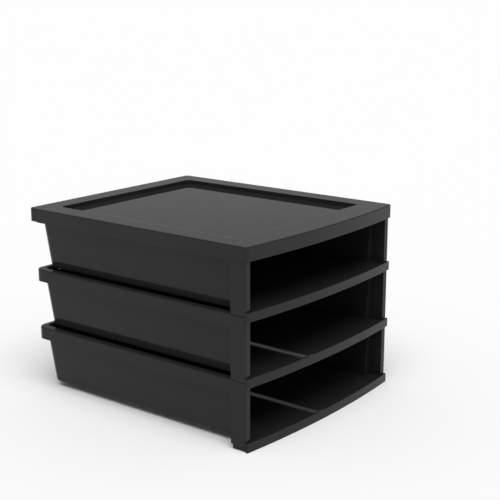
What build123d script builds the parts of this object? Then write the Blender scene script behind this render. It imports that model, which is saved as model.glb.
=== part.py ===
"""Stacking paper sorter: three equal open-front letter trays under a lid.

Every piece is one thin-walled moulding. The trays stand in each other by two
front feet in two sockets and by two rear lugs inside the back rim. The lid is
a shallow cap: its roof lies on the top tray's rim and its skirt hangs round it.

Origin: middle of the footprint on the desk. +X right, +Y to the back, +Z up.
"""
import os

from build123d import *

# Driving dimensions, in millimetres
TRAYS = ("tray_bottom", "tray_middle", "tray_top")
WIDTH = 264.0  # over the outer faces of the rim
DEPTH = 306.0  # front faces of the corner posts to the back of the rim
HEIGHT = 74.0  # underside of the feet to the top of the rim
SEAT = 5.7  # how far a tray plugs into the tray below
PITCH = HEIGHT - SEAT  # rise from one tray to the next
WALL = 2.2  # floor, walls and flange
FIT = 0.25  # gap all round a foot in its socket, and round the rim in the lid
CUT = 1.0  # how far a cutting body runs past the face that it opens

# Rim: a flange that turns down into a skirt, like an upside-down J
SKIRT = 14.0
SKIRT_WALL = 1.8
RIM_CORNER = 10.5
RIM_ROUND = 1.4

# Leaning walls: how far their outer faces stand in from the rim
SIDE_INSET = 5.6
SIDE_LEAN = 8.9
BACK_INSET = 4.5
BACK_LEAN = 3.6
TUB_CORNER = 10.0
TUB_BOTTOM_ROUND = 2.5

# Front corner posts, with a socket on top and a foot below
POST_WIDTH = SIDE_INSET + WALL
POST_DEPTH = 18.6
POST_WALL = 1.2
POST_ROUND = 1.5
FOOT_LEAD = 0.6

# Front lip, bowed outwards in plan and hanging down to the level of the feet
LIP_HEIGHT = 9.7
LIP_WALL = 2.2
LIP_BOW = 7.5
LIP_GAP = 0.35
LIP_END_ROUND = 1.0

# Slots under the flange at the back, with a taller window in the skirt behind
SLOT_WIDTH = 22.0
SLOT_HEIGHT = 3.7
SLOT_DROP = 3.0  # rim top to slot top
SLOT_FROM_SIDE = 41.7
WINDOW_HEIGHT = 8.5
RIB = 1.6

# Rear lugs: a hollow foot inside the rim below, and a heel that rests on it
LUG_X = 58.0
LUG_WIDTH = 18.0
LUG_DEPTH = 7.0
HEEL_REACH = 4.8
HEEL_HEIGHT = 6.0

# Lid: a skirted cap, bowed in front like the lips, round a sunken panel
LID_HEIGHT = 14.9
LID_CORNER = 5.0
LID_ROUND = 1.2
BORDER = 24.5
FRONT_BORDER = 29.0  # at the corners, beside the bow
SINK = 5.0
SINK_CORNER = 6.0

# Places that follow from the above
HALF = WIDTH / 2
LID_STEP = FIT + SKIRT_WALL  # how far the lid stands out past the rim
LIP_STEP = LIP_GAP + LIP_WALL  # how far lips and lid stand out past the posts
BACK = (DEPTH + LIP_STEP + LIP_BOW - LID_STEP) / 2
FRONT = BACK - DEPTH
POST_BACK = FRONT + POST_DEPTH
BAY = HALF - POST_WIDTH  # half the clear width between the posts
RIM_FOOT = HEIGHT - SKIRT
SLOT_TOP = HEIGHT - SLOT_DROP


def block(x_range, y_range, z_range):
    """A box between two places on each axis."""
    size = [high - low for low, high in (x_range, y_range, z_range)]
    centre = [(high + low) / 2 for low, high in (x_range, y_range, z_range)]
    return Pos(*centre) * Box(*size)


def both_sides(piece):
    """A piece on the right and its mirror image on the left."""
    return piece + mirror(piece, Plane.YZ)


def bowed_plan(half, set_back, behind):
    """Outline with the lips' bow in front and a straight line behind."""
    y = FRONT - LIP_STEP + set_back
    bow = ThreePointArc((-half, y), (0, y - LIP_BOW), (half, y))
    return make_face(bow + Polyline((half, y), (half, behind), (-half, behind), (-half, y)))


def rim_plan(inset, front, front_corner=0.0):
    """The rim's outline, set in by a distance and started at a given front."""
    back = BACK - inset
    plan = Pos(0, (front + back) / 2) * Rectangle(2 * (HALF - inset), back - front)
    plan = fillet(plan.vertices().group_by(Axis.Y)[-1], RIM_CORNER - inset)
    if front_corner:
        plan = fillet(plan.vertices().group_by(Axis.Y)[0], front_corner)
    return plan


def tub_plan(z, skin):
    """Outline of the leaning walls at one height, set in by the skin."""
    drop = (HEIGHT - z) / PITCH
    half = HALF - SIDE_INSET - SIDE_LEAN * drop - skin
    back = BACK - BACK_INSET - BACK_LEAN * drop - skin
    front = POST_BACK - POST_WALL
    plan = Pos(0, (front + back) / 2, z) * Rectangle(2 * half, back - front)
    return fillet(plan.vertices().group_by(Axis.Y)[-1], TUB_CORNER - skin)


def tub(floor, skin):
    """Tapered body between a floor level and the rim, which the walls follow."""
    return loft([tub_plan(floor, skin), tub_plan(HEIGHT, skin)], ruled=True)


def outer_tub():
    """Outside of the walls, its lower edges rounded but at the open front."""
    solid = tub(SEAT, 0.0)
    bottom = solid.faces().sort_by(Axis.Z)[0]
    return fillet(bottom.edges().sort_by(Axis.Y)[1:], TUB_BOTTOM_ROUND)


def rim():
    """Flange and skirt with the hollow under them, and all that they surround."""
    solid = Pos(0, 0, RIM_FOOT) * extrude(rim_plan(0, FRONT, POST_ROUND), SKIRT)
    solid = fillet(solid.faces().sort_by(Axis.Z)[-1].edges(), RIM_ROUND)
    hollow = extrude(rim_plan(SKIRT_WALL, POST_BACK), SKIRT - WALL + CUT)
    return solid - (Pos(0, 0, RIM_FOOT - CUT) * hollow - outer_tub())


def posts():
    """Corner posts, cut from the rim's own outline so that they stay flush."""
    right = Pos(HALF, (FRONT + POST_BACK) / 2) * Rectangle(2 * POST_WIDTH, POST_DEPTH)
    column = Pos(0, 0, SEAT) * extrude(rim_plan(0, FRONT, POST_ROUND) & right, RIM_FOOT - SEAT)
    narrow = HALF - SIDE_INSET - SIDE_LEAN
    cheek = block((narrow, HALF - POST_WALL), (POST_BACK - POST_WALL, POST_BACK), (SEAT, HEIGHT - WALL))
    return both_sides(column + cheek)


def sockets():
    """Hollows of the posts, narrowing at the bottom into the feet."""
    x_range = (BAY + POST_WALL, HALF - POST_WALL)
    y_range = (FRONT + POST_WALL, POST_BACK - POST_WALL)
    well = block(x_range, y_range, (SEAT + WALL, HEIGHT + CUT))
    step = FIT + POST_WALL
    toe = block(
        (x_range[0] + step, x_range[1] - step),
        (y_range[0] + step, y_range[1] - step),
        (POST_WALL, SEAT + 2 * WALL),
    )
    return both_sides(well + toe)


def feet():
    """Pegs that plug into the sockets below."""
    inset = POST_WALL + FIT
    foot = block(
        (BAY + inset, HALF - inset),
        (FRONT + inset, POST_BACK - inset),
        (0, SEAT + WALL),
    )
    foot = chamfer(foot.faces().sort_by(Axis.Z)[0].edges(), FOOT_LEAD)
    return both_sides(foot)


def lip():
    """Bowed lip, with its ends flush with the posts and softened."""
    outer = bowed_plan(HALF, 0, FRONT)
    inner = bowed_plan(HALF, LIP_WALL, FRONT + LIP_WALL)
    band = extrude(outer - inner, LIP_HEIGHT)
    ends = [edge for edge in band.edges().filter_by(Axis.Z) if edge.center().Y < FRONT - LIP_GAP - CUT]
    return fillet(ends, LIP_END_ROUND)


def front_floor():
    """Floor between the posts, out to the lip, and its ends under the posts."""
    apron = bowed_plan(HALF, LIP_WALL / 2, POST_BACK)
    between = Pos(0, FRONT) * Rectangle(2 * BAY + POST_WALL, 4 * POST_DEPTH)
    joint = block((BAY, HALF - LIP_END_ROUND), (FRONT - LIP_STEP / 2, FRONT + POST_ROUND), (SEAT, SEAT + WALL))
    return Pos(0, 0, SEAT) * extrude(apron & between, WALL) + both_sides(joint)


def lugs():
    """Open-ended rear feet that drop in just inside the back rim below."""
    lean = BACK_LEAN * SEAT / PITCH  # of the wall below, as deep as the lugs reach
    y_back = BACK - BACK_INSET - WALL - lean - FIT
    x_range = (LUG_X - LUG_WIDTH / 2, LUG_X + LUG_WIDTH / 2)
    outer = block(x_range, (y_back - LUG_DEPTH, y_back), (0, SEAT + WALL / 2))
    outer = chamfer(outer.faces().sort_by(Axis.Z)[0].edges(), FOOT_LEAD)
    inner = block(
        (x_range[0] + RIB, x_range[1] - RIB),
        (y_back - LUG_DEPTH + RIB, y_back - RIB),
        (-CUT, SEAT + WALL / 2),
    )
    return both_sides(outer - inner)


def heels():
    """Ledges under the back wall that rest on the rim below."""
    y_wall = BACK - BACK_INSET - BACK_LEAN - WALL
    y_edge = BACK - HEEL_REACH
    side = Plane.YZ * Polyline(
        (y_wall, SEAT),
        (y_edge, SEAT),
        (y_edge, SEAT + WALL),
        (y_wall, SEAT + HEEL_HEIGHT),
        close=True,
    )
    heel = extrude(make_face(side), LUG_WIDTH / 2, both=True)
    return both_sides(Pos(LUG_X, 0, 0) * heel)


def slots():
    """Slots through the back wall, and the windows in the skirt behind them."""
    x_range = (HALF - SLOT_FROM_SIDE - SLOT_WIDTH / 2, HALF - SLOT_FROM_SIDE + SLOT_WIDTH / 2)
    y_wall = BACK - BACK_INSET
    slot = block(x_range, (y_wall - 2 * WALL, y_wall + CUT), (SLOT_TOP - SLOT_HEIGHT, SLOT_TOP))
    window = block(x_range, (y_wall + CUT, BACK + CUT), (SLOT_TOP - WINDOW_HEIGHT, SLOT_TOP))
    return both_sides(slot + window)


def slot_ribs():
    """Ribs that close the hollow rim on each side of a slot."""
    x = HALF - SLOT_FROM_SIDE
    y_range = (BACK - BACK_INSET - WALL, BACK - SKIRT_WALL / 2)
    z_range = (RIM_FOOT + CUT, HEIGHT - WALL / 2)
    inner = block((x - SLOT_WIDTH / 2 - RIB, x - SLOT_WIDTH / 2), y_range, z_range)
    outer = block((x + SLOT_WIDTH / 2, x + SLOT_WIDTH / 2 + RIB), y_range, z_range)
    return both_sides(inner + outer)


def tray():
    """One tray, standing with its feet on z = 0."""
    bay = block((-BAY, BAY), (FRONT - CUT, POST_BACK - POST_WALL), (SEAT + WALL, HEIGHT + CUT))
    shell = outer_tub() + rim() + posts() + slot_ribs() + heels()
    shell = shell - tub(SEAT + WALL, WALL) - bay
    shell = shell + front_floor() + lip() + feet() + lugs()
    return (shell - sockets() - slots()).solid()


def lid_plan(inset):
    """The lid's outline, set in by a distance."""
    plan = bowed_plan(HALF + LID_STEP - inset, inset, BACK + LID_STEP - inset)
    return fillet(plan.vertices(), LID_CORNER - inset)


def panel_plan(skin):
    """Outline of the sunken panel, grown by the thickness of its walls."""
    half = HALF + LID_STEP - BORDER + skin
    front = FRONT - LIP_STEP + FRONT_BORDER - skin
    back = BACK + LID_STEP - BORDER + skin
    plan = Pos(0, (front + back) / 2) * Rectangle(2 * half, back - front)
    return fillet(plan.vertices(), SINK_CORNER + skin)


def lid():
    """The lid, standing with the edge of its skirt on z = 0."""
    cap = extrude(lid_plan(0.0), LID_HEIGHT)
    cap = fillet(cap.faces().sort_by(Axis.Z)[-1].edges(), LID_ROUND)
    cap = cap - extrude(lid_plan(SKIRT_WALL), LID_HEIGHT - WALL)
    panel_top = LID_HEIGHT - SINK
    pan = Pos(0, 0, panel_top - WALL) * extrude(panel_plan(WALL), SINK + WALL / 2)
    sink = Pos(0, 0, panel_top) * extrude(panel_plan(0.0), SINK + CUT)
    return (cap + pan - sink).solid()


def write(name, piece):
    """One file for one piece."""
    export_step(piece, os.path.join("parts", name + ".step"))


def main():
    os.makedirs("parts", exist_ok=True)
    one_tray = tray()
    for level, name in enumerate(TRAYS):
        write(name, Pos(0, 0, level * PITCH) * one_tray)
    rim_top = (len(TRAYS) - 1) * PITCH + HEIGHT
    write("lid", Pos(0, 0, rim_top + WALL - LID_HEIGHT) * lid())


main()
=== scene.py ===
"""Looks, light and camera for the stacking paper sorter."""
import math

import bpy
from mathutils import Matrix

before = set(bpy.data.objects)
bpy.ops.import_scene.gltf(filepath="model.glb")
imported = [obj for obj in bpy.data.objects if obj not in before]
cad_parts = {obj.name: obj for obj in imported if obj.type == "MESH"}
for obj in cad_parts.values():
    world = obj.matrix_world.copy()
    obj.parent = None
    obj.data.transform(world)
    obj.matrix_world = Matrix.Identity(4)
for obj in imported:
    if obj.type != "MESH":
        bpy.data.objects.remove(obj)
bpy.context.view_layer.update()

# Camera, in metres and degrees: it sees the bottom tray as the photograph does
CAMERA_AT = (-0.9495, -0.7970, 0.4651)
CAMERA_DOWN = 13.75
CAMERA_TURN = -51.854
SENSOR = 36.0  # millimetres
LENS = 80.6  # millimetres

# Light: a plain soft studio, angles in degrees
SUN_LEAN = 24.0  # from straight above
SUN_TURN = -45.0  # towards the camera's side
SUN_SPREAD = 50.0
SUN_STRENGTH = 2.23
SKY_LOW = 1.0  # strength at the horizon
SKY_HIGH = 0.36  # strength overhead
SKY_FADE = 0.09  # height of the change, as a part of the upward direction
FLOOR_WHITE = 0.98
FLOOR_SPAN = 120.0  # metres
FLOOR_DROP = 0.0002  # metres under the feet

# Plastic, lengths in metres and scales per metre
BLACK = (0.017, 0.017, 0.0175)
BLACK_WORN = (0.023, 0.023, 0.0235)
SPECULAR = 0.14
GLOSS = 0.035  # middle roughness
GLOSS_SPREAD = 0.03
CLOUD_SCALE = 14.0  # slow change of colour and gloss
CLOUD_DETAIL = 3.0
WAVE_SCALE = 22.0  # gentle waviness of a moulded wall
WAVE_DETAIL = 1.0
WAVE_HEIGHT = 0.00006
EDGE_ROUND = 0.0004
EDGE_SAMPLES = 4


def add_camera():
    """The photograph's viewing angle."""
    data = bpy.data.cameras.new("camera")
    data.sensor_width = SENSOR
    data.lens = LENS
    data.clip_end = FLOOR_SPAN
    camera = bpy.data.objects.new("camera", data)
    camera.location = CAMERA_AT
    camera.rotation_euler = (math.radians(90 - CAMERA_DOWN), 0,
                             math.radians(CAMERA_TURN))
    bpy.context.collection.objects.link(camera)
    bpy.context.scene.camera = camera


def add_sun():
    """One wide soft lamp, high on the camera's side."""
    data = bpy.data.lights.new("studio_lamp", "SUN")
    data.energy = SUN_STRENGTH
    data.angle = math.radians(SUN_SPREAD)
    lamp = bpy.data.objects.new("studio_lamp", data)
    lamp.rotation_euler = (math.radians(SUN_LEAN), 0, math.radians(SUN_TURN))
    bpy.context.collection.objects.link(lamp)


def add_sky():
    """A backdrop that is white along the floor and falls to soft grey above."""
    world = bpy.data.worlds.new("studio")
    bpy.context.scene.world = world
    world.use_nodes = True
    nodes, links = world.node_tree.nodes, world.node_tree.links
    nodes.clear()
    direction = nodes.new("ShaderNodeTexCoord")
    split = nodes.new("ShaderNodeSeparateXYZ")
    fade = nodes.new("ShaderNodeMapRange")
    fade.interpolation_type = "SMOOTHSTEP"
    fade.inputs["From Min"].default_value = 0.0
    fade.inputs["From Max"].default_value = SKY_FADE
    fade.inputs["To Min"].default_value = SKY_LOW
    fade.inputs["To Max"].default_value = SKY_HIGH
    background = nodes.new("ShaderNodeBackground")
    background.inputs["Color"].default_value = (1, 1, 1, 1)
    output = nodes.new("ShaderNodeOutputWorld")
    links.new(direction.outputs["Generated"], split.inputs["Vector"])
    links.new(split.outputs["Z"], fade.inputs["Value"])
    links.new(fade.outputs["Result"], background.inputs["Strength"])
    links.new(background.outputs["Background"], output.inputs["Surface"])


def add_floor():
    """A plain white floor out to the horizon."""
    half = FLOOR_SPAN / 2
    mesh = bpy.data.meshes.new("floor")
    sides = ((-half, -half), (half, -half), (half, half), (-half, half))
    corners = [(x, y, -FLOOR_DROP) for x, y in sides]
    mesh.from_pydata(corners, [], [(0, 1, 2, 3)])
    floor = bpy.data.objects.new("floor", mesh)
    bpy.context.collection.objects.link(floor)
    paint = bpy.data.materials.new("floor_paint")
    paint.use_nodes = True
    shader = paint.node_tree.nodes["Principled BSDF"]
    shader.inputs["Base Color"].default_value = (FLOOR_WHITE,) * 3 + (1,)
    shader.inputs["Roughness"].default_value = 1.0
    shader.inputs["Specular IOR Level"].default_value = 0.0
    mesh.materials.append(paint)


def black_plastic():
    """Glossy black moulded plastic."""
    material = bpy.data.materials.new("glossy_black_plastic")
    material.use_nodes = True
    nodes, links = material.node_tree.nodes, material.node_tree.links
    shader = nodes["Principled BSDF"]
    shader.inputs["Specular IOR Level"].default_value = SPECULAR
    place = nodes.new("ShaderNodeTexCoord")

    cloud = nodes.new("ShaderNodeTexNoise")
    cloud.inputs["Scale"].default_value = CLOUD_SCALE
    cloud.inputs["Detail"].default_value = CLOUD_DETAIL
    links.new(place.outputs["Object"], cloud.inputs["Vector"])
    colour = nodes.new("ShaderNodeMix")
    colour.data_type = "RGBA"
    colour.inputs["A"].default_value = (*BLACK, 1)
    colour.inputs["B"].default_value = (*BLACK_WORN, 1)
    links.new(cloud.outputs["Fac"], colour.inputs["Factor"])
    links.new(colour.outputs["Result"], shader.inputs["Base Color"])

    gloss = nodes.new("ShaderNodeMapRange")
    gloss.inputs["To Min"].default_value = GLOSS - GLOSS_SPREAD / 2
    gloss.inputs["To Max"].default_value = GLOSS + GLOSS_SPREAD / 2
    links.new(cloud.outputs["Fac"], gloss.inputs["Value"])
    links.new(gloss.outputs["Result"], shader.inputs["Roughness"])

    soft_edge = nodes.new("ShaderNodeBevel")
    soft_edge.samples = EDGE_SAMPLES
    soft_edge.inputs["Radius"].default_value = EDGE_ROUND
    wave = nodes.new("ShaderNodeTexNoise")
    wave.inputs["Scale"].default_value = WAVE_SCALE
    wave.inputs["Detail"].default_value = WAVE_DETAIL
    links.new(place.outputs["Object"], wave.inputs["Vector"])
    relief = nodes.new("ShaderNodeBump")
    relief.inputs["Distance"].default_value = WAVE_HEIGHT
    links.new(wave.outputs["Fac"], relief.inputs["Height"])
    links.new(soft_edge.outputs["Normal"], relief.inputs["Normal"])
    links.new(relief.outputs["Normal"], shader.inputs["Normal"])
    return material


def dress():
    """Gives every moulding its plastic."""
    plastic = black_plastic()
    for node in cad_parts.values():
        node.data.materials.clear()
        node.data.materials.append(plastic)


add_camera()
add_sun()
add_sky()
add_floor()
dress()
bpy.context.scene.view_settings.view_transform = "Standard"
